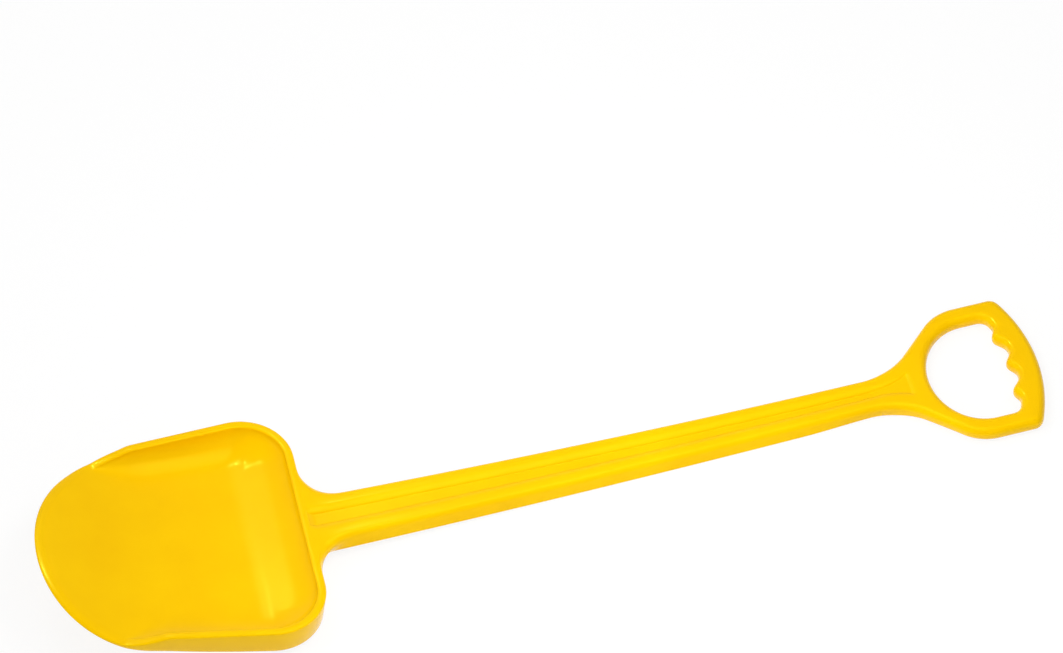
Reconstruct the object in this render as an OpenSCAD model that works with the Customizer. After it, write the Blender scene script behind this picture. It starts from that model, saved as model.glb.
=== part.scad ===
// Child's sand shovel: one plastic moulding, drawn as named regions that meet face to face.
// It lies as it rests on a table, on its heel and its grip: +X runs from blade to grip, +Z is up.

/* [Blade] */
// Length of the blade from its back to its tip, along its own floor
blade_len = 152.6; // [138:0.2:166]
// Width of the blade where the sides meet the back, before the corners are rounded
blade_w = 160; // [146:1:176]
// How much each side closes in towards the tip, in degrees
side_taper = 7; // [4:0.5:9]
// Radius of the two back corners, seen from above
corner_r = 30; // [20:0.5:33]
// Distance from the back at which the sides turn into the rounded front
front_from = 100; // [94:1:108]
// How far the front curve keeps to the line of the sides
front_side_pull = 31.5; // [20:0.5:36]
// How far the front curve keeps square to the tip
front_tip_pull = 35; // [26:1:44]
// Rise of the floor from heel to tip
tip_lift = 18; // [10:0.5:20]
// Thickness of the floor
floor_t = 2.6; // [2:0.1:3.2]
// Slope of the rim above the table as the shovel lies, in degrees
blade_tilt = 9.36; // [8:0.02:11]

/* [Walls] */
// Height of the rim above the heel, square to the rim
wall_h = 17.5; // [16.5:0.5:20]
// Distance from the back at which the side walls start to rise
wall_start = 113; // [108:1:118]
// Distance from the back at which the side walls reach full height
wall_full = 91; // [78:1:98]
// Width of the rounded rim, which is the walls' thickness at the top
rim_w = 4.8; // [4:0.1:5.4]
// Height of the rounding on each edge of the rim
rim_round = 1; // [0.6:0.1:1.6]
// How far the outer wall leans in from rim to heel
wall_draft = 0.8; // [0.4:0.1:1.6]
// Radius of the heel, where wall and underside meet
heel_r = 1.5; // [0.8:0.1:2]
// Distance from the back at which the floor starts to slope up
back_ramp = 33.4; // [27:0.2:38]
// Rise of that slope for each unit of length
back_slope = 0.27; // [0.16:0.01:0.3]
// Reach of the hollow curve between the back wall and the slope
back_cove = 14; // [12:0.5:18]
// Reach of the hollow curve of the side walls, where they stand full height
side_cove = 17.5; // [15:0.5:22]

/* [Digging edge] */
// Width of the bevelled band along the front
lip_w = 6; // [5.6:0.1:8]
// Thickness left at the very edge
edge_t = 1.2; // [1:0.1:1.6]

/* [Shaft] */
// Distance from the blade's back to the grip's yoke, along the shaft
shaft_len = 321.9; // [260:0.1:380]
// How far the middle of the shaft hangs below a straight line
shaft_sag = 2.5; // [0:0.1:2.6]
// Width of the shaft at the blade
shaft_w_neck = 32.6; // [28:0.2:36]
// Width of the shaft at the grip
shaft_w_grip = 22.4; // [19:0.2:26]
// How far each side of the shaft draws in halfway along
shaft_waist = 0.35; // [0:0.05:0.8]
// Depth of the shaft's side at the blade
shaft_depth_neck = 10.6; // [9.6:0.2:11.2]
// Depth of the shaft's side at the grip
shaft_depth_grip = 7.6; // [7.2:0.1:7.8]
// Thickness of the shaft's top and sides
shaft_wall = 2.8; // [2.2:0.1:3.2]
// How far the shaft's top lies below the top of the rim at the back wall
neck_drop = 1; // [1:0.1:1.4]
// Radius of the two curves that widen the shaft into the back wall
neck_r = 22; // [16:0.5:30]
// Radius of the same curves along the lower edge
neck_low_r = 10; // [8:0.5:16]
// Width of the groove along the shaft, at the blade
groove_w_neck = 8.2; // [6:0.1:9]
// Width of the groove along the shaft, at the grip
groove_w_grip = 3.6; // [3:0.1:4.6]
// Depth of the groove
groove_d = 2.2; // [1:0.1:2.4]
// Number of ribs across the channel under the shaft
rib_count = 6; // [2:1:10]
// Thickness of a rib
rib_t = 2; // [1.4:0.1:3]

/* [Grip] */
// Thickness of the grip
grip_t = 9.4; // [8.9:0.1:10.6]
// Radius of the rounding along the grip's edges
grip_round = 4; // [2.8:0.1:4.2]
// Width of the grip across its two arms
grip_w = 93.2; // [87:0.2:100]
// Distance from the yoke's start to the bend where the shaft opens into the grip
flare_from = 17; // [14:0.5:20]
// Distance from the yoke's start to the shoulder where an arm begins
shoulder_from = 53; // [50:0.5:58]
// Radius of the hollow bend between shaft and grip
flare_r = 40; // [30:1:48]
// Radius of the round shoulder
shoulder_r = 27; // [18:1:30]
// Distance from the yoke's start to the outer corners of the end bar
corner_from = 89; // [86:0.5:96]
// Radius of those outer corners
grip_corner_r = 6.5; // [4:0.5:7]
// How far the end bar bows out beyond its corners
bar_bow = 11; // [6:0.5:14]
// Width of each arm beside the hand opening
arm_w = 11.4; // [10.2:0.1:13.4]
// Distance from the yoke's start to the middle of the opening's round end
opening_from = 66; // [64:0.5:70]
// Length of the opening's round end
opening_round = 29; // [25:0.5:31]
// Radius of the opening's two corners at the end bar
opening_corner_r = 6; // [4:0.5:7]
// Width of the end bar in the finger grooves
bar_w = 13.4; // [11.8:0.1:14.6]
// Distance between two finger grooves
finger_pitch = 19.5; // [17:0.5:20]
// Height of the bumps between the finger grooves
finger_bump = 4.2; // [1:0.1:4.8]

/* [Hidden] */
plastic = "gold";

// Number of steps along each stretch of the blade's outline, from the tip to the middle of the back
lip_steps = 18;
ramp_steps = 4;
side_steps = 14;
corner_steps = 12;
back_steps = 6;
half_steps = lip_steps + ramp_steps + side_steps + corner_steps + back_steps;
// Number of steps down the hollow curve, and from its foot to the middle of the floor
cove_steps = 6;
floor_steps = 5;
// Number of steps along the neck, along the shaft, and along each stretch of the grip
neck_steps = 10;
shaft_steps = 12;
face_steps = 5;
flare_steps = 16;
arm_steps = 4;
bend_steps = 5;
bar_steps = 22;
path_steps = 10;
round_steps = 30;

// Small helpers
function mix(a, b, t) = a + (b - a) * t;
function limit(v, low, high) = min(max(v, low), high);
function ease(t) = let (c = limit(t, 0, 1)) c * c * (3 - 2 * c);
function unit(v) = v / norm(v);
// Quarter round from 1 at t = 0, where it stands upright, to 0 at t = 1, where it lies flat
function hollow(t) = let (c = 1 - limit(t, 0, 1)) 1 - sqrt(1 - c * c);
function left_of(v) = [-v.y, v.x];
function flip(p) = [p.x, -p.y];
function joined(lists) = [for (list = lists, item = list) item];
function bezier(p, t) =
    p[0] * pow(1 - t, 3) + p[1] * 3 * t * pow(1 - t, 2) + p[2] * 3 * t * t * (1 - t) + p[3] * pow(t, 3);
function arc(centre, r, from, to, steps) =
    [for (i = [0:steps]) centre + r * [cos(mix(from, to, i / steps)), sin(mix(from, to, i / steps))]];

// Corner b between a and c, rounded to radius r
function rounded(a, b, c, r, steps) =
    let (u = unit(a - b), v = unit(c - b), half = acos(limit(u * v, -1, 1)) / 2,
         centre = b + unit(u + v) * r / sin(half),
         from = atan2((b + u * r / tan(half) - centre).y, (b + u * r / tan(half) - centre).x),
         to = atan2((b + v * r / tan(half) - centre).y, (b + v * r / tan(half) - centre).x),
         turn = (to - from + 540) % 360 - 180)
    arc(centre, r, from, from + turn, steps);

// Points spread evenly by length along a path
function lengths(path, i = 0, sum = 0) =
    i == len(path) - 1 ? [sum] : concat([sum], lengths(path, i + 1, sum + norm(path[i + 1] - path[i])));
function spread(path, steps) =
    let (sums = lengths(path), total = sums[len(sums) - 1])
    [for (i = [0:steps]) [lookup(total * i / steps, [for (k = [0:len(path) - 1]) [sums[k], path[k].x]]),
                          lookup(total * i / steps, [for (k = [0:len(path) - 1]) [sums[k], path[k].y]])]];

// Solid through a row of like polygons, each given as points in space
module loft(rows) {
    size = len(rows[0]);
    last = len(rows) - 1;
    sides = [for (i = [0:last - 1], j = [0:size - 1])
        let (a = i * size + j, b = i * size + (j + 1) % size)
        each [[a, b, b + size], [a, b + size, a + size]]];
    ends = [[for (j = [size - 1:-1:0]) j], [for (j = [0:size - 1]) last * size + j]];
    polyhedron(joined(rows), concat(sides, ends), convexity = 6);
}

// Blade outline in the blade's own plane, x = 0 at the back
side_dir = [-cos(side_taper), -sin(side_taper)];
side_root = [0, blade_w / 2];
front_root = side_root + side_dir * front_from / cos(side_taper);
tip = [-blade_len, 0];
front_curve = [tip, tip + [0, front_tip_pull], front_root + side_dir * front_side_pull, front_root];
corner_cut = corner_r / tan((90 - side_taper) / 2);
corner_centre = [-corner_r, blade_w / 2 - corner_cut];

// Place on the front curve at which the side wall starts, found by halving
function front_at(x, low = 0, high = 1, tries = 24) =
    let (middle = (low + high) / 2)
    tries == 0 ? middle
    : bezier(front_curve, middle).x < x ? front_at(x, middle, high, tries - 1)
    : front_at(x, low, middle, tries - 1);
wall_t = front_at(-wall_start);

half_outline = joined([
    [for (i = [0:lip_steps - 1]) bezier(front_curve, wall_t * i / lip_steps)],
    [for (i = [0:ramp_steps - 1]) bezier(front_curve, mix(wall_t, 1, i / ramp_steps))],
    [for (i = [0:side_steps - 1]) mix(front_root, side_root + side_dir * corner_cut, i / side_steps)],
    [for (i = [0:corner_steps - 1]) arc(corner_centre, corner_r, 90 + side_taper, 0, corner_steps)[i]],
    [for (i = [0:back_steps]) [0, (blade_w / 2 - corner_cut) * (1 - i / back_steps)]]]);
outline = concat(half_outline, [for (i = [half_steps - 1:-1:1]) flip(half_outline[i])]);
outline_size = len(outline);
function around(k) = outline[(k + outline_size) % outline_size];
function normal(k) =
    let (before = unit(around(k) - around(k - 1)), after = unit(around(k + 1) - around(k)))
    left_of(unit(before + after));

// Heights in the blade's own plane
middle_share = 0.45;
lift_shape = 2.8;
ramp_shape = 0.8;
lip_fade = 2.5;
lip_edge_round = 0.5;
lip_heel = 0.35;
middle = [-middle_share * blade_len, 0];
function lift(x) = tip_lift * pow(-min(x, 0) / blade_len, lift_shape);
function ramp(k) =
    let (from = limit((around(k).x + wall_start) / (wall_start - wall_full), 0, 1)) pow(from, ramp_shape);
function fade(k) = ease((-wall_start - around(k).x) / (blade_len - wall_start) * lip_fade);
function bevel(k, d) = (floor_t - edge_t) * fade(k) * pow(1 - min(d / lip_w, 1), 2);
function rim_top(k, d) = mix(lift((around(k) - normal(k) * d).x) + floor_t, wall_h, ramp(k));
function rim_z(k, d) =
    let (side = 2 * d / rim_w - 1, outer = mix(lip_edge_round, rim_round, ramp(k)), inner = rim_round * ramp(k))
    rim_top(k, d) - bevel(k, d) - (side < 0 ? outer * pow(-side, 3) : inner * pow(side, 3));

// Hollow curve round the floor: how far it reaches in from the rim at point k
cove_start = 2;
corner_cove = 2;
corner_reach = 6;
function cove(k) =
    let (turned = ease(normal(k).x))
    mix(mix(cove_start, side_cove, ramp(k)), back_cove, pow(turned, corner_cove))
        + 4 * corner_reach * turned * (1 - turned);
function rim_inner(k) = around(k) - normal(k) * rim_w;
function inward(k) = unit(middle - rim_inner(k));

// Height of the inside at the distance e from the rim's inner edge, towards the middle of the floor
function floor_z(x) = lift(x) + floor_t + back_slope * max(x + back_ramp, 0);
function inside_z(k, e) =
    let (base = floor_z((rim_inner(k) + inward(k) * e).x), d = -e * inward(k) * normal(k))
    mix(base, rim_z(k, rim_w), hollow(d / cove(k)));

// From the blade's own plane to the table
heel_x = -(wall_draft + heel_r);
blade_drop = -heel_x * sin(blade_tilt) + lift(heel_x) * cos(blade_tilt);
function on_table(p, z) =
    [p.x * cos(blade_tilt) + z * sin(blade_tilt), p.y,
     z * cos(blade_tilt) - p.x * sin(blade_tilt) - blade_drop];

// Lengths along the table, and the middle of the whole shovel
tip_x = on_table(tip, lift(-blade_len) + heel_edge(0)).x;
rim_back = on_table([0, 0], wall_h - rim_round);
neck_top = min(on_table([0, 0], wall_h).z - neck_drop, rim_back.z);
yoke_x = rim_back.x + shaft_len;
grip_end = yoke_x + corner_from + bar_bow;
middle_x = (tip_x + grip_end) / 2;
module placed() {
    translate([-middle_x, 0, 0]) color(plastic) children();
}

// Section through the wall or the digging edge at point k, as points in space
heel_share = 0.3;
rim_shares = [0, 0.2, 0.5, 0.8, 1];
function heel_edge(k) = mix(lip_heel, heel_r, ramp(k));
function wall_section(k) =
    let (o = around(k), n = normal(k), r = heel_edge(k), lean = wall_draft * ramp(k), floor = lift(o.x))
    [for (p = concat(
            [[rim_w, lift(rim_inner(k).x)], [lean + r, floor], [lean + heel_share * r, floor + heel_share * r], [lean, floor + r]],
            [for (share = rim_shares) [share * rim_w, rim_z(k, share * rim_w)]]))
        on_table(o - n * p[0], p[1])];

module digging_edge() {
    placed() loft([for (k = [-lip_steps:lip_steps]) wall_section(k)]);
}

module right_wall() {
    placed() loft([for (k = [lip_steps:lip_steps + ramp_steps + side_steps]) wall_section(k)]);
}

module left_wall() {
    placed() loft([for (k = [-lip_steps - ramp_steps - side_steps:-lip_steps]) wall_section(k)]);
}

module back_wall() {
    from = lip_steps + ramp_steps + side_steps;
    placed() loft([for (k = [from:outline_size - from]) wall_section(k)]);
}

// Floor of the scoop with the hollow curve round it, as one skin of even thickness
wall_zone = 24;
under_share = 0.85;
function skin_row(k, under) =
    let (inner = rim_inner(k), far = norm(middle - inner),
         ways = concat([for (i = [0:cove_steps]) wall_zone * (1 - cos(90 * i / cove_steps))],
                       [for (i = [1:floor_steps - 1]) mix(wall_zone, far, i / floor_steps)]))
    [for (e = ways)
        let (p = inner + inward(k) * e, top = inside_z(k, e), low = lift(p.x))
        on_table(p, under ? low + under_share * max(top - low - floor_t, 0) : top)];

module scoop_floor() {
    rows = cove_steps + floor_steps;
    half = outline_size * rows;
    tops = [for (k = [0:outline_size - 1]) each skin_row(k, false)];
    unders = [for (k = [0:outline_size - 1]) each skin_row(k, true)];
    centres = [on_table(middle, lift(middle.x) + floor_t), on_table(middle, lift(middle.x))];
    faces = [for (k = [0:outline_size - 1])
        let (a = k * rows, b = ((k + 1) % outline_size) * rows)
        each concat(
            [for (i = [0:rows - 2]) each [
                [a + i, b + i, b + i + 1], [a + i, b + i + 1, a + i + 1],
                [half + a + i, half + b + i + 1, half + b + i], [half + a + i, half + a + i + 1, half + b + i + 1]]],
            [[a + rows - 1, b + rows - 1, 2 * half], [half + b + rows - 1, half + a + rows - 1, 2 * half + 1],
             [a, half + a, half + b], [a, half + b, b]])];
    placed() polyhedron(concat(tops, unders, centres), faces, convexity = 6);
}

// Shaft: heights and widths at x, measured from the back wall's rim
grip_step = 0.5;
grip_lip = grip_t - grip_step;
function along_shaft(x) = limit((x - rim_back.x) / shaft_len, 0, 1);
function shaft_top(x) =
    let (t = along_shaft(x)) mix(neck_top, grip_lip, t) - shaft_sag * 4 * t * (1 - t);
function shaft_bottom(x) =
    shaft_top(x) - mix(shaft_depth_neck, shaft_depth_grip, along_shaft(x));
function shaft_half(x) =
    let (t = along_shaft(x)) mix(shaft_w_neck, shaft_w_grip, t) / 2 - shaft_waist * 4 * t * (1 - t);
function groove_half(x) = mix(groove_w_neck, groove_w_grip, along_shaft(x)) / 2;
function neck_flare(x, r) = r * hollow((x - rim_back.x) / r);

// Half of the shaft's section at x, from the groove's middle to the lower edge, as [y, z]
side_lean = 1.2;
lean_fade = 40;
groove_foot = 0.5;
groove_floor = 0.97;
groove_wall = 0.9;
rail_round_neck = 5;
rail_round_grip = 3.6;
rail_round_shares = [0.06, 0.25, 0.6];
rail_crown = 0.5;
edge_round = 3;
edge_share = 0.3;
function low_half(x) =
    shaft_half(x) + side_lean * (1 - ease((x - yoke_x) / lean_fade + 1)) + neck_flare(x, neck_low_r);
function rail_round(x) = mix(rail_round_neck, rail_round_grip, along_shaft(x));
function shaft_half_section(x) =
    let (w = shaft_half(x) + neck_flare(x, neck_r), top = shaft_top(x), g = groove_half(x), r = rail_round(x))
    concat(
        [[0, top - groove_d], [g - groove_foot, top - groove_floor * groove_d], [g, top - groove_wall * groove_d]],
        [for (share = rail_round_shares) [g + share * r, top - groove_wall * groove_d * hollow(share)]],
        [[(g + w) / 2, top], [w - edge_round, top - rail_crown],
         [w - edge_share * edge_round, top - edge_share * edge_round - rail_crown],
         [w, top - edge_round - rail_crown], [low_half(x), shaft_bottom(x)]]);

// Half of the open channel under the shaft, from the lower edge to the middle of its roof
channel_bend = 0.7;
channel_in = 1.6;
function channel_half_section(x) =
    let (half = shaft_half(x), roof = shaft_top(x) - shaft_wall, g = groove_half(x))
    [[low_half(x) - shaft_wall, shaft_bottom(x)],
     [half - shaft_wall, roof - channel_bend * shaft_wall], [half - channel_in * shaft_wall, roof],
     [g + rail_round(x), roof], [g, roof - groove_d / 2], [0, roof - groove_d]];

function whole(half) =
    concat(half, [for (i = [len(half) - 1:-1:0]) if (half[i].x > 0) [-half[i].x, half[i].y]]);
function shaft_outline(x) =
    let (half = concat(shaft_half_section(x), channel_half_section(x))) whole(half);

// The outer face of the back wall, which leans a little: x at height z
face_low = on_table([-wall_draft, 0], heel_r + lift(0));
face_lean = (rim_back.x - face_low.x) / (rim_back.z - face_low.z);
function back_face(z) = rim_back.x - face_lean * (rim_back.z - z);

row_shape = 1.6;
module neck() {
    rows = [for (i = [0:neck_steps]) let (x = rim_back.x + neck_r * pow(i / neck_steps, row_shape))
        [for (p = shaft_outline(x)) [i == 0 ? back_face(p[1]) : x, p[0], p[1]]]];
    placed() loft(rows);
}

module shaft() {
    from = rim_back.x + neck_r;
    rows = [for (i = [0:shaft_steps]) let (x = mix(from, yoke_x, i / shaft_steps))
        [for (p = shaft_outline(x)) [x, p[0], p[1]]]];
    placed() loft(rows);
}

// Ribs across the channel, spaced evenly between neck and yoke
rib_gap = 1.2;
function rib_section(x) =
    let (half = channel_half_section(x), edge = half[0], next = half[1],
         share = rib_gap / (next.y - edge.y))
    whole(concat([mix(edge, next, share)], [for (i = [1:len(half) - 1]) half[i]]));

module channel_ribs() {
    from = rim_back.x + neck_r;
    step = (yoke_x - from) / (rib_count + 1);
    placed() for (i = [1:rib_count]) {
        x = from + step * i;
        loft([for (side = [-rib_t / 2, rib_t / 2]) [for (p = rib_section(x + side)) [x + side, p[0], p[1]]]]);
    }
}

// Grip outlines seen from above, for the right half: outer edge and edge of the hand opening
arm_out = grip_w / 2;
yoke_half = shaft_half(yoke_x);
bend_at = [yoke_x + flare_from, yoke_half];
shoulder_at = [yoke_x + shoulder_from, arm_out];
bar_corner = [yoke_x + corner_from, arm_out];
bar_r = (pow(arm_out, 2) + pow(bar_bow, 2)) / (2 * bar_bow);
bar_centre = [grip_end - bar_r, 0];
function bar_outer(y) = [bar_centre.x + sqrt(pow(bar_r, 2) - y * y), y];
bump_shape = 1.5;
function bump(y) =
    let (place = min(abs(y) / finger_pitch, 1.5)) finger_bump * pow(max(0.5 + 0.5 * cos(360 * place), 0), bump_shape);
function bar_inner(y) = [bar_centre.x + sqrt(pow(bar_r - bar_w, 2) - y * y) - bump(y), y];
opening_half = grip_w / 2 - arm_w;
opening_mid = [yoke_x + opening_from, 0];
opening_corner = bar_inner(opening_half);

along_arm = [1, 0];
corner_aim = 0.8;
outer_bend = rounded(bar_corner - along_arm, bar_corner, bar_outer(arm_out * corner_aim), grip_corner_r, bend_steps);
inner_bend = rounded(opening_corner - along_arm, opening_corner, bar_inner(opening_half - opening_corner_r),
                     opening_corner_r, bend_steps);
flare_path = joined([[[yoke_x, yoke_half]],
    rounded([yoke_x, yoke_half], bend_at, shoulder_at, flare_r, path_steps),
    rounded(bend_at, shoulder_at, bar_corner, shoulder_r, path_steps)]);
round_path = [for (i = [0:round_steps]) let (a = 180 - 90 * i / round_steps)
    opening_mid + [opening_round * cos(a), opening_half * sin(a)]];
// Share of the round end that faces the shaft's end face
face_share = 0.16;
face_count = round(round_steps * face_share);

function last(list) = list[len(list) - 1];
outer_half = joined([
    [for (i = [0:face_steps - 1]) [yoke_x, yoke_half * i / face_steps]],
    [for (i = [0:flare_steps - 1]) spread(flare_path, flare_steps)[i]],
    [for (i = [0:arm_steps - 1]) mix(last(flare_path), outer_bend[0], i / arm_steps)],
    [for (i = [0:bend_steps - 1]) outer_bend[i]],
    [for (i = [0:bar_steps]) bar_outer(mix(last(outer_bend).y, 0, i / bar_steps))]]);
face_arc = [for (i = [0:face_count]) round_path[i]];
flare_arc = [for (i = [face_count:round_steps]) round_path[i]];
inner_half = joined([
    [for (i = [0:face_steps - 1]) spread(face_arc, face_steps)[i]],
    [for (i = [0:flare_steps - 1]) spread(flare_arc, flare_steps)[i]],
    [for (i = [0:arm_steps - 1]) mix(last(round_path), inner_bend[0], i / arm_steps)],
    [for (i = [0:bend_steps - 1]) inner_bend[i]],
    [for (i = [0:bar_steps]) bar_inner(mix(last(inner_bend).y, 0, i / bar_steps))]]);

// Height of the grip's upper and lower face; the groove runs out on the yoke in a widening funnel
funnel_len = 26;
funnel_half = 7.8;
funnel_shape = 2.5;
low_round_from = 45;
function groove_dip(y, half) = hollow((y - half) / rail_round_grip);
function funnel(p) =
    let (along = limit((p.x - yoke_x) / funnel_len, 0, 1),
         half = mix(groove_half(yoke_x), funnel_half, pow(along, funnel_shape)))
    groove_d * (1 - ease(along)) * groove_dip(abs(p.y), half);
function grip_high(p) = mix(shaft_top(yoke_x), grip_t, ease((p.x - yoke_x) / funnel_len)) - funnel(p);
function grip_low(p) = shaft_bottom(yoke_x) * (1 - ease((p.x - yoke_x) / flare_from));
function edge_drop(d) = let (c = limit(d / grip_round, 0, 1)) grip_round * (1 - sqrt(1 - pow(1 - c, 2)));

// Section through the grip's ring at station s, from the opening outwards over the top and back below
across = [0, 0.1, 0.4, 1];
ring_mids = 4;
function ring_section(s, side) =
    let (inner = inner_half[s], outer = outer_half[s], width = norm(outer - inner), r = min(grip_round, width / 2),
         faced = s < face_steps, marks = concat(
             [for (a = across) a * r], [for (i = [1:ring_mids]) mix(r, width - r, i / (ring_mids + 1))],
             [for (i = [len(across) - 1:-1:0]) width - across[i] * r]))
    concat(
        [for (d = marks) let (p = mix(inner, outer, d / width))
            [p.x, side * p.y, grip_high(p) - edge_drop(d) - (faced ? 0 : edge_drop(width - d))]],
        [for (i = [len(marks) - 1:-1:0]) let (d = marks[i], p = mix(inner, outer, d / width))
            [p.x, side * p.y, grip_low(p)
             + (edge_drop(d) + (faced ? 0 : edge_drop(width - d))) * ease((p.x - yoke_x) / low_round_from)]]);
arm_from = face_steps + flare_steps;
bar_from = arm_from + arm_steps;
ring_end = len(inner_half) - 1;

module ring_part(rows) {
    placed() loft(rows);
}

module yoke() {
    ring_part(concat([for (s = [arm_from:-1:1]) ring_section(s, -1)], [for (s = [0:arm_from]) ring_section(s, 1)]));
}

module right_arm() {
    ring_part([for (s = [arm_from:bar_from]) ring_section(s, 1)]);
}

module left_arm() {
    ring_part([for (s = [bar_from:-1:arm_from]) ring_section(s, -1)]);
}

module finger_bar() {
    ring_part(concat([for (s = [bar_from:ring_end]) ring_section(s, 1)],
                     [for (s = [ring_end - 1:-1:bar_from]) ring_section(s, -1)]));
}

scoop_floor();
digging_edge();
left_wall();
right_wall();
back_wall();
neck();
shaft();
channel_ribs();
yoke();
left_arm();
right_arm();
finger_bar();
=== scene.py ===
# %% [markdown]
# Sand shovel: the looks of a child's one-piece plastic shovel
# This lesson dresses a imported CAD model. The CAD model gives the frame, the real size and the
# names of the regions; here each region gets the smooth skin and the glossy plastic of the real toy.
# Every length of the toy is in millimetres, as on a drawing, and turns into metres when a mesh is
# made. The table and the lamps are set up in metres, as Blender counts.

# %% Load the CAD model and bake its placement into the meshes
import math

import bmesh
import bpy
import numpy as np
from mathutils import Matrix, Vector


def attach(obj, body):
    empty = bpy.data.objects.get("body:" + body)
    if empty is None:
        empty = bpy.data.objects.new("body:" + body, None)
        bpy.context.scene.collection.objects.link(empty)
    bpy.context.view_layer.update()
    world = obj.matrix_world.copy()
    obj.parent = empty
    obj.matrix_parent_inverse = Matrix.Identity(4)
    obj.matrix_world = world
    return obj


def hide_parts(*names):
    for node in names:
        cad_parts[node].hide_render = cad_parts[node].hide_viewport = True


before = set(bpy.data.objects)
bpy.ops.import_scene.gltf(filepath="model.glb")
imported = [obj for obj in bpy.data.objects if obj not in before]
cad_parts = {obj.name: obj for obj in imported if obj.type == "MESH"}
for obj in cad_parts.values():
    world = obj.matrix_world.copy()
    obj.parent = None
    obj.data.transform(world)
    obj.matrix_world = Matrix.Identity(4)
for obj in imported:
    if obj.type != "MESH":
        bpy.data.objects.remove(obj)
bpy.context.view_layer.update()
print("CAD nodes:", sorted(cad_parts))

# %% [markdown]
# How the toy lies on the table
# The shovel lies as it rests on a table: on the heel of its blade and on its flat grip. The blade
# has its own plane, which tips up towards the front. It could be modelled flat and turned as an
# object afterwards, but then the shaft would have to be fitted to it by eye. Here a formula tilts
# each point of the blade, so all pieces share one frame. The sizes are the same as in the CAD
# source, so that each skin sits where its solid sits.


# %% Small helpers for curves
def mix(a, b, t):
    return a + (b - a) * t


def ease(t):
    """Soft step from 0 at t = 0 to 1 at t = 1."""
    c = np.clip(t, 0.0, 1.0)
    return c * c * (3.0 - 2.0 * c)


def hump(t):
    """1 at t = 0.5, and 0 at t = 0 and t = 1."""
    return 4.0 * t * (1.0 - t)


def hollow(t):
    """Quarter round from 1 at t = 0, where it stands upright, to 0 at t = 1, where it lies flat."""
    c = 1.0 - np.clip(t, 0.0, 1.0)
    return 1.0 - np.sqrt(1.0 - c ** 2)


print("halfway, ease, hump and hollow are", ease(0.5), hump(0.5), hollow(0.5))

# %% From the blade's plane to the table
BLADE_LEN = 152.6
BLADE_TILT = math.radians(9.36)
# Curl of the floor at the tip, and the power that says how late it starts
TIP_LIFT = 18.0
LIFT_SHAPE = 2.8
WALL_DRAFT = 0.8
HEEL_R = 1.5


def lift(x):
    """Height of the underside in the blade's plane, which curls up towards the tip."""
    return TIP_LIFT * (-np.minimum(x, 0.0) / BLADE_LEN) ** LIFT_SHAPE


def on_table(x, y, z):
    """Blade plane to table, in millimetres."""
    c, s = math.cos(BLADE_TILT), math.sin(BLADE_TILT)
    return np.stack([x * c + z * s, y + 0.0 * x, z * c - x * s - BLADE_DROP], axis=-1)


HEEL_X = -(WALL_DRAFT + HEEL_R)
BLADE_DROP = -HEEL_X * math.sin(BLADE_TILT) + lift(HEEL_X) * math.cos(BLADE_TILT)
print("the blade comes down by", BLADE_DROP, "mm until its heel touches the table")

# %% Places along the table
WALL_H = 17.5
RIM_W = 4.8
RIM_ROUND = 1.0
LIP_HEEL = 0.35
# How far below the rim the top of the shaft starts
NECK_DROP = 1.0
SHAFT_LEN = 321.9
# From the yoke to the grip's corners, and on to the end of its bowed bar
CORNER_FROM = 89.0
BAR_BOW = 11.0

RIM_BACK = on_table(np.array(0.0), 0.0, WALL_H - RIM_ROUND)
RIM_CREST = on_table(np.array(-RIM_W / 2), 0.0, WALL_H)
NECK_TOP = min(on_table(np.array(0.0), 0.0, WALL_H)[2] - NECK_DROP, RIM_BACK[2])
YOKE_X = RIM_BACK[0] + SHAFT_LEN
GRIP_END = YOKE_X + CORNER_FROM + BAR_BOW
TIP_X = on_table(np.array(-BLADE_LEN), 0.0, lift(-BLADE_LEN) + LIP_HEEL)[0]
MIDDLE_X = (TIP_X + GRIP_END) / 2.0
print("tip, yoke, grip end and middle along the table:", TIP_X, YOKE_X, GRIP_END, MIDDLE_X)

# %% [markdown]
# The camera
# The photograph was taken from above the near side with a long lens. A camera could be aimed by
# eye, but then the outlines would never quite agree. So its place and its three directions were
# worked out from the shovel's outline, and are written in the table's frame: the shovel itself
# needs no turning.

# %% Camera at the photograph's viewing angle
MM = 0.001
CAMERA_AT = Vector((-36.130, -1354.356, 1805.766))
CAMERA_RIGHT = Vector((0.970194, -0.227938, -0.082271))
CAMERA_DOWN = Vector((-0.228077, -0.744113, -0.627934))
CAMERA_AHEAD = Vector((0.081906, 0.627970, -0.773924))
IMAGE_W = 1063.0
FOCAL_PIXELS = 4020.76
SENSOR_MM = 36.0
FARTHEST_SEEN = 50.0

camera_data = bpy.data.cameras.new("photo_camera")
camera_data.sensor_fit = "HORIZONTAL"
camera_data.sensor_width = SENSOR_MM
camera_data.lens = SENSOR_MM * FOCAL_PIXELS / IMAGE_W
camera_data.clip_end = FARTHEST_SEEN
camera = bpy.data.objects.new("photo_camera", camera_data)
bpy.context.scene.collection.objects.link(camera)
axes = Matrix((CAMERA_RIGHT, -CAMERA_DOWN, -CAMERA_AHEAD)).transposed()
camera_place = (CAMERA_AT - Vector((MIDDLE_X, 0.0, 0.0))) * MM
camera.matrix_world = Matrix.Translation(camera_place) @ axes.to_4x4()
bpy.context.scene.camera = camera
print("lens in mm:", camera_data.lens)

# %% [markdown]
# A grid of points becomes a mesh
# Both the scoop and the handle are rows of points: each row is a slice through the plastic or a
# ring round it, and neighbouring rows are joined by four-sided faces. A rough block with bevel and
# subdivision modifiers would also turn round and smooth, but it would not keep to the drawing's
# radii. Faces that meet at a blunt angle are shaded smooth, and only true edges stay sharp.


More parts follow.
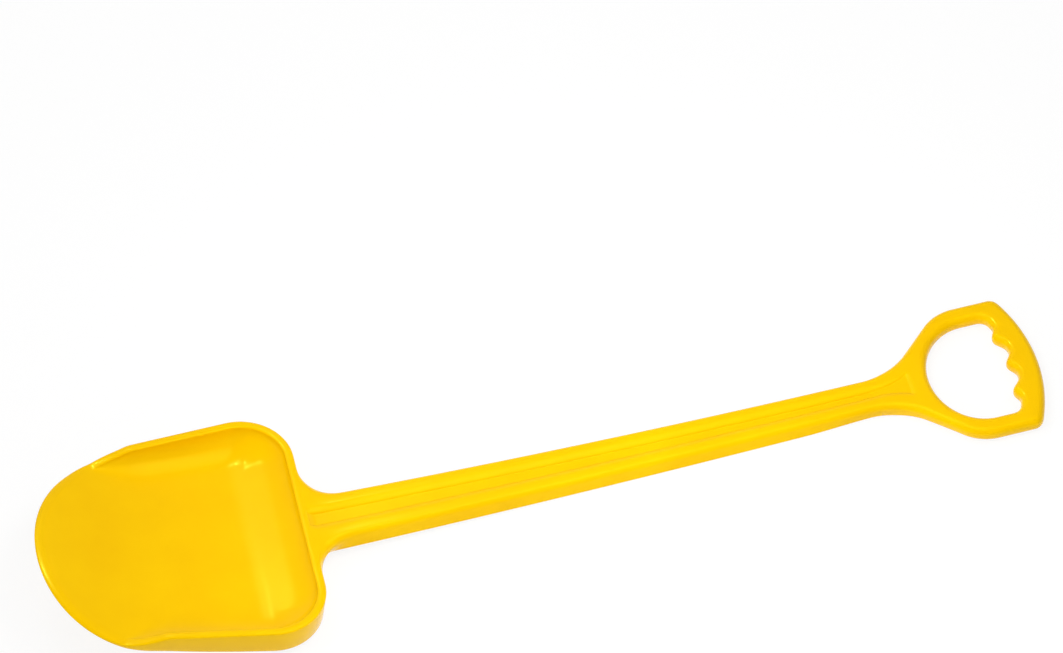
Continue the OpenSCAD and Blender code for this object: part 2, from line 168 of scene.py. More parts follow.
# %% Faces between rows of points
def loft_faces(rows, size, closed_rows, closed_size):
    """Faces between neighbouring rows, each of the same size, numbered row by row."""
    faces = []
    for i in range(rows if closed_rows else rows - 1):
        for j in range(size if closed_size else size - 1):
            a, b = i * size + j, i * size + (j + 1) % size
            c, d = ((i + 1) % rows) * size + (j + 1) % size, ((i + 1) % rows) * size + j
            faces.append((a, b, c, d))
    return faces


print("a tube of 3 rows with 8 points has", len(loft_faces(3, 8, False, True)), "faces")

# %% From points and faces to a Blender piece
SAME_PLACE = 2e-6
NO_LENGTH = 1e-6
SHARP_ANGLE = math.radians(40.0)


def make_piece(name, points, faces, sharp_angle=SHARP_ANGLE):
    """A closed, smooth-shaded piece from points in millimetres."""
    mesh = bpy.data.meshes.new(name)
    points = (np.asarray(points) - np.array([MIDDLE_X, 0.0, 0.0])) * MM
    mesh.from_pydata(points.tolist(), [], faces)
    work = bmesh.new()
    work.from_mesh(mesh)
    bmesh.ops.remove_doubles(work, verts=work.verts, dist=SAME_PLACE)
    bmesh.ops.dissolve_degenerate(work, edges=work.edges, dist=NO_LENGTH)
    bmesh.ops.recalc_face_normals(work, faces=work.faces)
    work.to_mesh(mesh)
    open_edges = sum(1 for edge in work.edges if len(edge.link_faces) != 2)
    work.free()
    mesh.shade_smooth()
    mesh.set_sharp_from_angle(angle=sharp_angle)
    piece = bpy.data.objects.new(name, mesh)
    bpy.context.scene.collection.objects.link(piece)
    print(name, "has", len(mesh.vertices), "points and", open_edges, "open edges")
    return piece


print("edges stay sharp from", math.degrees(SHARP_ANGLE), "degrees on")

# %% [markdown]
# The outline of the blade
# Seen from above, the blade has a straight back, two round corners, sides that close in a little,
# and a front like a rounded spade. A curve drawn by hand could give the same line, but its handles
# would hide the sizes. So each stretch is a line, an arc or one Bezier curve between named sizes,
# and every point keeps the direction that leads out of the blade there.

# %% Front of the blade
BLADE_W = 160.0
SIDE_TAPER = math.radians(7.0)
# Where the front starts, and how far its curve's handles reach along the side and the tip
FRONT_FROM = 100.0
FRONT_SIDE_PULL = 31.5
FRONT_TIP_PULL = 35.0


def front_curve(t):
    """Places on one half of the front, from tip to side, and the directions that lead out there."""
    side = np.array([-math.cos(SIDE_TAPER), -math.sin(SIDE_TAPER)])
    root = np.array([0.0, BLADE_W / 2.0]) + side * FRONT_FROM / math.cos(SIDE_TAPER)
    tip = np.array([-BLADE_LEN, 0.0])
    p = [tip, tip + [0.0, FRONT_TIP_PULL], root + side * FRONT_SIDE_PULL, root]
    t = np.asarray(t)[:, None]
    place = p[0] * (1 - t) ** 3 + 3 * p[1] * t * (1 - t) ** 2 + 3 * p[2] * t * t * (1 - t) + p[3] * t ** 3
    along = 3 * ((p[1] - p[0]) * (1 - t) ** 2 + 2 * (p[2] - p[1]) * t * (1 - t) + (p[3] - p[2]) * t * t)
    along = along / np.linalg.norm(along, axis=1)[:, None]
    return place, np.stack([-along[:, 1], along[:, 0]], axis=1)


FRONT_END = front_curve([1.0])[0][0]
print("the front ends at", FRONT_END)

# %% Whole outline of the blade, in its own plane
CORNER_R = 30.0
LIP_POINTS = 170
SIDE_POINTS = 110
CORNER_POINTS = 60
BACK_POINTS = 40


def both_halves(half):
    """Closed path from one half of it, which starts and ends on the middle line."""
    return np.concatenate([half, half[-2:0:-1] * np.array([1.0, -1.0])])


def blade_outline():
    front, front_out = front_curve(np.linspace(0.0, 1.0, LIP_POINTS, endpoint=False))
    side_out = np.array([-math.sin(SIDE_TAPER), math.cos(SIDE_TAPER)])
    cut = CORNER_R / math.tan((math.pi / 2 - SIDE_TAPER) / 2)
    side_end = np.array([0.0, BLADE_W / 2]) - np.array([math.cos(SIDE_TAPER), math.sin(SIDE_TAPER)]) * cut
    side = mix(FRONT_END, side_end, np.linspace(0.0, 1.0, SIDE_POINTS, endpoint=False)[:, None])
    angles = np.linspace(math.pi / 2 + SIDE_TAPER, 0.0, CORNER_POINTS, endpoint=False)
    corner_out = np.stack([np.cos(angles), np.sin(angles)], axis=1)
    corner = np.array([-CORNER_R, BLADE_W / 2 - cut]) + CORNER_R * corner_out
    back_y = np.linspace(BLADE_W / 2 - cut, 0.0, BACK_POINTS)
    back = np.stack([0.0 * back_y, back_y], axis=1)
    half = np.concatenate([front, side, corner, back])
    out = np.concatenate([front_out, np.tile(side_out, (SIDE_POINTS, 1)), corner_out,
                          np.tile([1.0, 0.0], (BACK_POINTS, 1))])
    return both_halves(half), both_halves(out)


outline, outward = blade_outline()
print("outline points:", len(outline), "width:", np.ptp(outline[:, 1]))

# %% [markdown]
# Walls, rim and digging edge
# The walls rise from nothing at the front to full height halfway back. Their top is a rounded rim,
# and the front has a thin bevelled lip instead. Walls could be strips that are joined to a floor,
# but a moulding has no seam there. So each height is a row of values along the outline, evened out
# where it would kink, and the skin is one piece.


# %% Walls rising along the outline
def smoothed(values, width):
    """Evens out a closed row of values over neighbouring outline points."""
    step = np.linalg.norm(np.roll(outline, -1, axis=0) - outline, axis=1)
    at = np.concatenate([[0.0], np.cumsum(step)[:-1]])
    gap = np.abs(at[:, None] - at[None, :])
    gap = np.minimum(gap, step.sum() - gap)
    weight = np.exp(-0.5 * (gap / width) ** 2) * step[None, :]
    return (weight * values[None, :]).sum(axis=1) / weight.sum(axis=1)


# Distances from the back at which the walls start and at which they stand full height
WALL_START = 113.0
WALL_FULL = 91.0
WALL_RISE_POWER = 0.8
KINK_SOFTNESS = 1.6

ox = outline[:, 0]
wall_rise = np.clip((ox + WALL_START) / (WALL_START - WALL_FULL), 0.0, 1.0) ** WALL_RISE_POWER
wall_rise = smoothed(wall_rise, KINK_SOFTNESS)
print("share of the wall's height from", wall_rise.min(), "to", wall_rise.max())

# %% Rim and digging edge
FLOOR_T = 2.6
EDGE_T = 1.2
LIP_W = 6.0
# The bevel has its full depth after 1 / LIP_FADE of the way from the walls to the tip
LIP_FADE = 2.5
LIP_EDGE_ROUND = 0.5
RIM_SHAPE = 2.4

bevel_depth = (FLOOR_T - EDGE_T) * ease((-WALL_START - ox) / (BLADE_LEN - WALL_START) * LIP_FADE)
rim_inner = outline - outward * RIM_W


def bevel(depth, d):
    """Depth of the lip's bevel at a distance d in from the outer edge."""
    return depth * (1.0 - np.minimum(d / LIP_W, 1.0)) ** 2


def rim_height(d):
    """Height of the rim at a distance d in from the outer edge, for every outline point."""
    side = 2.0 * d / RIM_W - 1.0
    drop = mix(LIP_EDGE_ROUND, RIM_ROUND, wall_rise) if side < 0 else RIM_ROUND * wall_rise
    top = mix(lift(ox - outward[:, 0] * d) + FLOOR_T, WALL_H, wall_rise)
    return top - drop * (1.0 - math.sqrt(max(1.0 - abs(side) ** RIM_SHAPE, 0.0)))


print("the lip's bevel is", bevel_depth.max(), "mm deep at the tip")

# %% [markdown]
# The inside of the scoop
# Inside, a hollow curve, called a cove, leads from the rim down to the floor. It is tight at the
# front of the sides and wide at their back and in the corners. At the back the floor itself slopes
# up first, like the end of a dustpan. Sculpting could give such a hollow too, but a formula keeps
# both sides alike: the height of a point comes from the floor below it and from its distance to
# the rim, which says how far up the cove it lies.

# %% Reach of the cove along the outline
SIDE_COVE = 17.5
BACK_COVE = 14.0
COVE_START = 2.0
# In a corner the cove goes over from the side's reach to the back's, and reaches further
CORNER_COVE = 2.0
CORNER_REACH = 6.0
COVE_SOFTNESS = 4.0

side_reach = mix(COVE_START, SIDE_COVE, wall_rise)
turned = ease(outward[:, 0])
cove = mix(side_reach, BACK_COVE, turned ** CORNER_COVE) + CORNER_REACH * hump(turned)
cove = smoothed(cove, COVE_SOFTNESS)
print("cove reach from", cove.min(), "to", cove.max())

# %% Distance to a path
POINTS_AT_ONCE = 2000
SHORTEST_SQUARE = 1e-9


def nearest(path, points):
    """Distance from each point to a path, and the place on the path counted in its points."""
    a, ab = path[:-1], np.diff(path, axis=0)
    length = np.maximum((ab ** 2).sum(axis=1), SHORTEST_SQUARE)
    gap, place = np.empty(len(points)), np.empty(len(points))
    for i in range(0, len(points), POINTS_AT_ONCE):
        p = points[i:i + POINTS_AT_ONCE, None, :]
        t = np.clip(((p - a) * ab).sum(axis=2) / length, 0.0, 1.0)
        all_gaps = np.sqrt(((a + ab * t[..., None] - p) ** 2).sum(axis=2))
        best = all_gaps.argmin(axis=1)
        row = np.arange(len(best))
        gap[i:i + POINTS_AT_ONCE] = all_gaps[row, best]
        place[i:i + POINTS_AT_ONCE] = best + t[row, best]
    return gap, place


def closed(values):
    return np.concatenate([values, values[:1]])


MIDDLE_SHARE = 0.45
MIDDLE_OF_FLOOR = np.array([-MIDDLE_SHARE * BLADE_LEN, 0.0])
middle_gap = nearest(closed(rim_inner), MIDDLE_OF_FLOOR[None, :])[0][0]
print("the middle of the floor is", middle_gap, "mm from the rim")

# %% Height of the inside
BACK_RAMP = 33.4
BACK_SLOPE = 0.27
RAMP_SOFT = 5.0


def back_ramp(x):
    """How far the floor has risen at x on its slope at the back, which has a soft foot."""
    from_foot = x + BACK_RAMP
    soft = np.clip(from_foot + RAMP_SOFT, 0.0, 2.0 * RAMP_SOFT) ** 2 / (4.0 * RAMP_SOFT)
    return BACK_SLOPE * np.where(from_foot > RAMP_SOFT, from_foot, soft)


def inside_height(plan):
    """Height of the scoop's inside at plan points, in the blade's plane."""
    gap, place = nearest(closed(rim_inner), plan)
    count = np.arange(len(outline) + 1)
    rows = (rim_height(RIM_W), cove, bevel_depth)
    edge, reach, depth = (np.interp(place, count, closed(row)) for row in rows)
    base = lift(plan[:, 0]) + FLOOR_T + back_ramp(plan[:, 0])
    return mix(base, edge, hollow(gap / reach)) - bevel(depth, gap + RIM_W)


print("the floor rises by", float(back_ramp(-RIM_W)), "mm up to the back rim")

# %% [markdown]
# The scoop
# The skin of the scoop is a row of rings, each once round the blade. They start in the middle of
# the underside, go out to the heel, up the outer wall, over the rim, down the cove and back to the
# middle of the floor. A sheet with a solidify modifier would be quicker, but the rim, the walls and
# the lip all differ in thickness. The rings below the cove follow it, so that the plastic stays
# about as thick there as on the floor.

# %% Rings inside the rim, seen from above
# Zone along the rim in which the rings lie closer together
WALL_ZONE = 30.0
COVE_STEPS = 30
FLOOR_STEPS = 26


def inner_plans():
    """Rings of plan points from the rim's inner edge towards the middle of the floor."""
    inward = MIDDLE_OF_FLOOR - rim_inner
    inward = inward / np.linalg.norm(inward, axis=1)[:, None]
    foot = rim_inner + inward * WALL_ZONE
    angles = np.linspace(0.0, math.pi / 2, COVE_STEPS + 1)
    near = [mix(rim_inner, foot, 1 - math.cos(a)) for a in angles]
    far = [mix(foot, MIDDLE_OF_FLOOR, t) for t in np.linspace(0.0, 1.0, FLOOR_STEPS + 1)[1:-1]]
    return near + far


plans = inner_plans()
print("rings inside the rim:", len(plans))

# %% All rings of the scoop
RIM_STEPS = 16
HEEL_STEPS = 5
# Share of the cove's rise that the underside follows
UNDER_SHARE = 0.85


def ring(plan, z):
    return on_table(plan[:, 0], plan[:, 1], z)


def scoop_rings():
    heel, lean, base = mix(LIP_HEEL, HEEL_R, wall_rise), WALL_DRAFT * wall_rise, lift(ox)
    upper = [inside_height(plan) for plan in plans]
    lower = []
    for plan, z in zip(plans, upper):
        floor = lift(plan[:, 0])
        lower.append(floor + UNDER_SHARE * np.maximum(z - floor - FLOOR_T, 0.0))
    rings = [ring(plan, z) for plan, z in zip(plans[::-1], lower[::-1])]
    rings.append(ring(rim_inner, lift(rim_inner[:, 0])))
    for a in np.linspace(0.0, math.pi / 2, HEEL_STEPS + 1):
        d = lean + heel * (1 - math.sin(a))
        rings.append(ring(outline - outward * d[:, None], base + heel * (1 - math.cos(a))))
    for a in np.linspace(0.0, math.pi, RIM_STEPS + 1)[:-1]:
        d = RIM_W * (1 - math.cos(a)) / 2
        rings.append(ring(outline - outward * d, rim_height(d) - bevel(bevel_depth, d)))
    return rings + [ring(plan, z) for plan, z in zip(plans, upper)]


scoop_skin = scoop_rings()
print("rings of the scoop:", len(scoop_skin))


# %% Scoop
def make_scoop(rings):
    """The rings joined by faces, and closed by a fan of triangles below and above."""
    count = len(outline)
    faces = loft_faces(len(rings), count, False, True)
    low = lift(MIDDLE_OF_FLOOR[0])
    under = on_table(MIDDLE_OF_FLOOR[:1], 0.0, np.array([low]))
    over = on_table(MIDDLE_OF_FLOOR[:1], 0.0, np.array([low + FLOOR_T]))
    points = np.concatenate(rings + [under, over])
    last = (len(rings) - 1) * count
    for k in range(count):
        faces.append(((k + 1) % count, k, len(points) - 2))
        faces.append((last + k, last + (k + 1) % count, len(points) - 1))
    return make_piece("scoop", points, faces)


scoop = make_scoop(scoop_skin)

# %% [markdown]
# The shaft
# The shaft is an open channel, as mouldings of this kind are: a skin of even thickness with two
# rounded rails on top and a groove between them. It narrows towards the grip and flares out into
# the back wall of the scoop. A profile swept along a curve would keep one section all the way. So
# slices across the shaft are joined instead, and each of their sizes has a formula along the shaft.

# %% Height of the shaft
SHAFT_SAG = 2.5
SHAFT_DEPTH_NECK = 10.6
SHAFT_DEPTH_GRIP = 7.6
GRIP_T = 9.4
YOKE_DROP = 0.5


def along_shaft(x):
    """0 at the back wall, 1 at the yoke."""
    return np.clip((x - RIM_BACK[0]) / SHAFT_LEN, 0.0, 1.0)


def shaft_top(x):
    t = along_shaft(x)
    return mix(NECK_TOP, GRIP_T - YOKE_DROP, t) - SHAFT_SAG * hump(t)


def shaft_bottom(x):
    return shaft_top(x) - mix(SHAFT_DEPTH_NECK, SHAFT_DEPTH_GRIP, along_shaft(x))


print("top of the shaft at the back wall and at the yoke:", shaft_top(RIM_BACK[0]), shaft_top(YOKE_X))

# %% Width of the shaft
SHAFT_W_NECK = 32.6
SHAFT_W_GRIP = 22.4
SHAFT_WAIST = 0.35
NECK_R = 22.0
NECK_LOW_R = 10.0
SIDE_LEAN = 1.2
LEAN_FADE = 40.0


def shaft_half(x):
    t = along_shaft(x)
    return mix(SHAFT_W_NECK, SHAFT_W_GRIP, t) / 2 - SHAFT_WAIST * hump(t)


def neck_flare(x, r):
    return r * hollow((x - RIM_BACK[0]) / r)


def low_half(x):
    """Half the width at the lower edge. The sides lean out, but stand upright at the yoke."""
    lean = SIDE_LEAN * (1.0 - ease((x - YOKE_X) / LEAN_FADE + 1.0))
    return shaft_half(x) + lean + neck_flare(x, NECK_LOW_R)


YOKE_HALF = float(shaft_half(YOKE_X))
print("half of the shaft's width at the yoke:", YOKE_HALF)

# %% Rails and groove
GROOVE_W_NECK = 8.2
GROOVE_W_GRIP = 3.6
GROOVE_D = 2.2
GROOVE_HOLLOW = 0.5
GROOVE_FOOT = 0.1
RAIL_ROUND_NECK = 5.0
RAIL_ROUND_GRIP = 3.6
RAIL_CROWN = 0.7


def groove_half(x):
    return mix(GROOVE_W_NECK, GROOVE_W_GRIP, along_shaft(x)) / 2


def rail_round(x):
    return mix(RAIL_ROUND_NECK, RAIL_ROUND_GRIP, along_shaft(x))


def groove_dip(y, half, round_w):
    """1 on the groove's floor, 0 on the rails, with a rounded edge between them."""
    floor = 1.0 - GROOVE_FOOT * np.clip((y - half) / GROOVE_HOLLOW + 1.0, 0.0, 1.0) ** 2
    return np.where(y < half, floor, (1.0 - GROOVE_FOOT) * hollow((y - half) / round_w))


def rail_crown(y, half, edge):
    """How far a rail has dropped at y from its highest line, which is its middle."""
    return RAIL_CROWN * (2.0 * np.clip((y - half) / (edge - half), 0.0, 1.0) - 1.0) ** 2


print("half of the groove's width at the yoke:", float(groove_half(YOKE_X)))

# %% Open channel under the shaft
SHAFT_WALL = 2.8
CHANNEL_BEND = 0.7
CHANNEL_IN = 1.6


def channel_half(x, low):
    """Half of the open channel under the shaft, from its lower edge to the middle of its roof."""
    half, groove = float(shaft_half(x)), float(groove_half(x))
    roof = float(shaft_top(x)) - SHAFT_WALL
    return [(low - SHAFT_WALL, float(shaft_bottom(x))),
            (half - SHAFT_WALL, roof - CHANNEL_BEND * SHAFT_WALL),
            (half - CHANNEL_IN * SHAFT_WALL, roof),
            (groove + float(rail_round(x)), roof),
            (groove, roof - GROOVE_D / 2),
            (0.0, roof - GROOVE_D)]


def whole(right):
    """Closed section from its half."""
    return np.array(right + [(-a, b) for a, b in right[::-1] if a > 0])


print("points of the channel in a slice:", len(whole(channel_half(YOKE_X, float(low_half(YOKE_X))))))

# %% Slices across the shaft
RAIL_EDGE_W = 3.0
RAIL_EDGE_H = 3.2
NECK_EDGE_W = 6.0
NECK_EDGE_H = 3.5
# Lengths over which the rails run down from the rim and the groove gets its depth
NECK_FILLET = 16.0
GROOVE_START = 6.0
CREST_GAP = 0.05
FLOOR_MARKS = 8
EDGE_STEPS = 16
RAIL_STEPS = 24
SIDE_STEPS = 4


def off_rim(x):
    """0 where the rails meet the rim, 1 once they run clear of it."""
    return 1.0 - np.clip(1.0 - (x - RIM_CREST[0]) / NECK_FILLET, 0.0, 1.0) ** 2


def shaft_slice(x):
    half, groove, turn_w = float(shaft_half(x)), float(groove_half(x)), float(rail_round(x))
    wide = half + float(neck_flare(x, NECK_R))
    low = float(low_half(x))
    near = float(ease(1.0 - (x - RIM_BACK[0]) / NECK_R))
    edge_w, edge_h = mix(RAIL_EDGE_W, NECK_EDGE_W, near), mix(RAIL_EDGE_H, NECK_EDGE_H, near)
    turn = np.linspace(0.0, math.pi / 2, EDGE_STEPS)
    y = np.concatenate([np.linspace(0.0, groove, FLOOR_MARKS, endpoint=False),
                        groove + turn_w * (1.0 - np.cos(turn[:-1])),
                        np.linspace(groove + turn_w, wide - edge_w, RAIL_STEPS),
                        wide - edge_w * np.cos(turn[1:])])
    dip = groove_dip(y, groove, turn_w) * float(ease((x - RIM_CREST[0]) / GROOVE_START))
    clear = float(off_rim(x))
    rise = (RIM_CREST[2] - CREST_GAP - NECK_TOP) * (1.0 - clear) - rail_crown(y, groove, wide) * clear
    z = shaft_top(x) + rise * (1.0 - dip) - GROOVE_D * dip - edge_h * hollow((wide - y) / edge_w)
    down = np.linspace(0.0, 1.0, SIDE_STEPS + 1)[1:]
    side = [(mix(wide, low, t), mix(z[-1], float(shaft_bottom(x)), t)) for t in down]
    return whole(list(zip(y, z)) + side + channel_half(x, low))


print("points of a slice:", len(shaft_slice(YOKE_X)))

# %% Shaft
SHAFT_SLICES = 90
NECK_SLICES = 60
NECK_CROWDING = 1.6
FACE_LOW = on_table(np.array(-WALL_DRAFT), 0.0, HEEL_R)
FACE_LEAN = (RIM_BACK[0] - FACE_LOW[0]) / (RIM_BACK[2] - FACE_LOW[2])


def make_shaft():
    """Slices from the rim's crest to the yoke. The first one leans with the back wall."""
    steps = np.linspace(0.0, 1.0, NECK_SLICES) ** NECK_CROWDING
    places = np.concatenate([[RIM_CREST[0]], RIM_BACK[0] + NECK_R * steps,
                             np.linspace(RIM_BACK[0] + NECK_R, YOKE_X, SHAFT_SLICES)[1:]])
    rows = []
    for i, x in enumerate(places):
        part = shaft_slice(x)
        at = np.full(len(part), x)
        if i == 0:
            at = at - FACE_LEAN * np.maximum(RIM_BACK[2] - part[:, 1], 0.0)
        rows.append(np.stack([at, part[:, 0], part[:, 1]], axis=1))
    size = len(rows[0])
    faces = loft_faces(len(rows), size, False, True)
    faces.append(tuple(range(size))[::-1])
    faces.append(tuple((len(rows) - 1) * size + j for j in range(size)))
    return make_piece("shaft", np.concatenate(rows), faces)


shaft = make_shaft()

# %% [markdown]
# Ribs under the shaft
# Thin walls across the open channel keep such a shaft stiff. Boxes cut to shape by a boolean would
# do, but their edges come out ragged. Ribs never show from above, so each is a plain plate between
# two copies of the channel's inside, and a loop sets them out evenly.

# %% Ribs
RIB_COUNT = 6
RIB_T = 2.0
RIB_GAP = 1.2
RIB_SHARP_ANGLE = math.radians(30.0)


def rib_ring(x):
    """Outline of a rib at x: the channel's inside, but a little short of the lower edge."""
    right = channel_half(x, float(low_half(x)))
    share = RIB_GAP / (right[1][1] - right[0][1])
    right[0] = (mix(right[0][0], right[1][0], share), right[0][1] + RIB_GAP)
    return [(x, a, b) for a, b in whole(right)]


def make_ribs():
    start = RIM_BACK[0] + NECK_R
    points, faces = [], []
    for i in range(1, RIB_COUNT + 1):
        x = mix(start, YOKE_X, i / (RIB_COUNT + 1))
        rows = rib_ring(x - RIB_T / 2) + rib_ring(x + RIB_T / 2)
        size, base = len(rows) // 2, len(points)
        points += rows
        faces += [tuple(base + k for k in face) for face in loft_faces(2, size, False, True)]
        faces.append(tuple(base + j for j in range(size))[::-1])
        faces.append(tuple(base + size + j for j in range(size)))
    return make_piece("channel_ribs", np.array(points), faces, RIB_SHARP_ANGLE)


ribs = make_ribs()

# %% [markdown]
# The grip
# The grip is a ring: the shaft opens into a yoke, two arms run back from it, and an end bar with
# finger grooves closes the D. A bent tube could be squeezed into this shape, but the grip is flat
# above and below, and only its edges are round. So the outer edge and the edge of the hand opening
# are drawn as two paths with the same number of points, and slices run from one to the other. The
# height of each point comes from its distance to the nearest edge, so all edges are rounded alike.


# %% Helpers for rounded paths
def rounded(a, b, c, r, steps):
    """Points of an arc of radius r that rounds the corner b between a and c."""
    a, b, c = (np.asarray(p, float) for p in (a, b, c))
    u, v = (a - b) / np.linalg.norm(a - b), (c - b) / np.linalg.norm(c - b)
    half = math.acos(np.clip(u @ v, -1, 1)) / 2
    centre = b + (u + v) / np.linalg.norm(u + v) * r / math.sin(half)
    start, end = b + u * r / math.tan(half) - centre, b + v * r / math.tan(half) - centre
    first = math.atan2(start[1], start[0])
    turn = (math.atan2(end[1], end[0]) - first + math.pi) % (2 * math.pi) - math.pi
    angle = np.linspace(first, first + turn, steps)
    return centre + r * np.stack([np.cos(angle), np.sin(angle)], axis=1)


def spread(path, count, end=False):
    """Points spread evenly by length along a path."""
    path = np.asarray(path)
    sums = np.concatenate([[0.0], np.cumsum(np.linalg.norm(np.diff(path, axis=0), axis=1))])
    at = np.linspace(0.0, sums[-1], count, endpoint=end)
    return np.stack([np.interp(at, sums, path[:, 0]), np.interp(at, sums, path[:, 1])], axis=1)


print("a right corner rounded by 1 mm starts at", rounded((0, 5), (0, 0), (5, 0), 1.0, 5)[0])

# %% End bar with its finger grooves
GRIP_W = 93.2
ARM_W = 11.4
BAR_W = 13.4
FINGER_PITCH = 19.5
FINGER_BUMP = 4.2
BUMP_SHAPE = 1.5
LAST_GROOVE = 1.5

ARM_OUT = GRIP_W / 2
OPENING_HALF = ARM_OUT - ARM_W
BAR_R = (ARM_OUT ** 2 + BAR_BOW ** 2) / (2 * BAR_BOW)
BAR_CENTRE = GRIP_END - BAR_R


def bar_outer(y):
    return np.stack([BAR_CENTRE + np.sqrt(BAR_R ** 2 - y ** 2), y], axis=-1)


def bar_inner(y):
    """Inner edge of the bar: three bumps, and beyond the last groove no more of them."""
    place = np.minimum(np.abs(y) / FINGER_PITCH, LAST_GROOVE)
    bump = FINGER_BUMP * (0.5 + 0.5 * np.cos(2.0 * math.pi * place)) ** BUMP_SHAPE
    return np.stack([BAR_CENTRE + np.sqrt((BAR_R - BAR_W) ** 2 - y ** 2) - bump, y], axis=-1)


print("radius of the end bar:", BAR_R, "width of the hand opening:", 2 * OPENING_HALF)

# %% Outer edge of the grip, one half
FLARE_FROM = 17.0
SHOULDER_FROM = 53.0
FLARE_R = 40.0
SHOULDER_R = 27.0
GRIP_CORNER_R = 6.5
# The corner is rounded towards the bar's outer edge at this share of the half width
CORNER_AIM = 0.8
FACE_POINTS = 30
FLARE_POINTS = 130
ARC_POINTS = 60
ARM_POINTS = 16
BEND_POINTS = 24
BAR_POINTS = 150

along_grip = np.array([1.0, 0.0])
arm_marks = np.linspace(0.0, 1.0, ARM_POINTS, endpoint=False)[:, None]


def outer_half():
    """From the middle of the yoke's face along flare, arm and corner to the middle of the bar."""
    start = np.array([YOKE_X, YOKE_HALF])
    bend = np.array([YOKE_X + FLARE_FROM, YOKE_HALF])
    shoulder = np.array([YOKE_X + SHOULDER_FROM, ARM_OUT])
    corner = np.array([YOKE_X + CORNER_FROM, ARM_OUT])
    face_y = np.linspace(0.0, YOKE_HALF, FACE_POINTS, endpoint=False)
    face = np.stack([np.full(FACE_POINTS, YOKE_X), face_y], axis=1)
    flare = np.concatenate([[start], rounded(start, bend, shoulder, FLARE_R, ARC_POINTS),
                            rounded(bend, shoulder, corner, SHOULDER_R, ARC_POINTS)])
    aim = bar_outer(np.array(ARM_OUT * CORNER_AIM))
    turn = rounded(corner - along_grip, corner, aim, GRIP_CORNER_R, BEND_POINTS)
    bar = bar_outer(np.linspace(turn[-1][1], 0.0, BAR_POINTS))
    arm = mix(flare[-1], turn[0], arm_marks)
    return np.concatenate([face, spread(flare, FLARE_POINTS), arm, turn[:-1], bar])


grip_outer = outer_half()
print("points on one half of the outer edge:", len(grip_outer))

# %% Hand opening, one half
OPENING_FROM = 66.0
OPENING_ROUND = 29.0
OPENING_CORNER_R = 6.0
ROUND_STEPS = 180
# Share of the opening's round end that lies across from the yoke's face
FACE_SHARE = 0.16


def inner_half():
    """From the yoke round the end of the opening, along the arm and the corner to the bar."""
    angle = np.linspace(math.pi, math.pi / 2, ROUND_STEPS + 1)
    end_x = YOKE_X + OPENING_FROM + OPENING_ROUND * np.cos(angle)
    end = np.stack([end_x, OPENING_HALF * np.sin(angle)], axis=1)
    cut = int(ROUND_STEPS * FACE_SHARE)
    corner = bar_inner(np.array(OPENING_HALF))
    aim = bar_inner(np.array(OPENING_HALF - OPENING_CORNER_R))
    turn = rounded(corner - along_grip, corner, aim, OPENING_CORNER_R, BEND_POINTS)
    bar = bar_inner(np.linspace(turn[-1][1], 0.0, BAR_POINTS))
    arm = mix(end[-1], turn[0], arm_marks)
    return np.concatenate([spread(end[:cut + 1], FACE_POINTS), spread(end[cut:], FLARE_POINTS),
                           arm, turn[:-1], bar])


grip_inner = inner_half()
print("points on one half of the hand opening:", len(grip_inner))

# %% [markdown]
# The end of the groove
# On the yoke the groove opens like a funnel, gets shallower and ends in a small step. The grip
# lies flat on the table from there on, while the shaft comes in a little higher above it. A
# boolean cut would leave sharp edges all round the funnel, so the groove's own formula goes on,
# and only its width and depth change.

# %% Height of the grip
GRIP_ROUND = 4.0
FUNNEL_LEN = 26.0
FUNNEL_HALF = 7.8
FUNNEL_SHAPE = 2.5
# Share of its depth that the groove loses along the funnel
FUNNEL_FADE = 0.7
FUNNEL_STEP = 3.0
STEP_MIDDLE = 0.5
# The rails are flat after 1 / CROWN_FADE of the funnel
CROWN_FADE = 2.0
LOW_ROUND_FROM = 45.0


def grip_heights(plan, away):
    """Upper and lower height of the grip at plan points, away from its nearest edge."""
    x, y = plan[:, 0], np.abs(plan[:, 1])
    along = np.clip((x - YOKE_X) / FUNNEL_LEN, 0.0, 1.0)
    flat = ease(along)
    half = mix(groove_half(YOKE_X), FUNNEL_HALF, along ** FUNNEL_SHAPE)
    end = 1.0 - ease((x - YOKE_X - FUNNEL_LEN) / FUNNEL_STEP + STEP_MIDDLE)
    dip = groove_dip(y, half, RAIL_ROUND_GRIP)
    groove = GROOVE_D * (1.0 - FUNNEL_FADE * along) * end * dip
    crown = rail_crown(y, half, YOKE_HALF) * (1.0 - dip) * (1.0 - ease(CROWN_FADE * along))
    width, height = mix(RAIL_EDGE_W, GRIP_ROUND, flat), mix(RAIL_EDGE_H, GRIP_ROUND, flat)
    high = mix(shaft_top(YOKE_X), GRIP_T, flat) - groove - crown - height * hollow(away / width)
    step = shaft_bottom(YOKE_X) * (1.0 - ease((x - YOKE_X) / FLARE_FROM))
    low = step + GRIP_ROUND * hollow(away / GRIP_ROUND) * ease((x - YOKE_X) / LOW_ROUND_FROM)
    return high, low


bar_middle = (grip_outer[-1:] + grip_inner[-1:]) / 2.0
print("upper and lower height of the bar's middle:", *grip_heights(bar_middle, np.array([BAR_W / 2])))

# %% Places of the grip's points, seen from above
RING_EDGE_STEPS = 12
RING_MIDDLE_STEPS = 40
# Share of a slice over which its points crowd towards each edge
EDGE_SHARE = 0.32


def grip_grid():
    """Points of slices from the hand opening to the outer edge, closer together near both edges."""
    turn = np.linspace(0.0, math.pi / 2, RING_EDGE_STEPS)
    marks = np.concatenate([EDGE_SHARE * (1 - np.cos(turn)),
                            np.linspace(EDGE_SHARE, 1 - EDGE_SHARE, RING_MIDDLE_STEPS)[1:-1],
                            1 - EDGE_SHARE * (1 - np.cos(turn[::-1]))])
    outer, inner = both_halves(grip_outer), both_halves(grip_inner)
    return mix(inner[:, None, :], outer[:, None, :], marks[None, :, None])


grid = grip_grid()
print("slices of the grip and points in each:", grid.shape[:2])

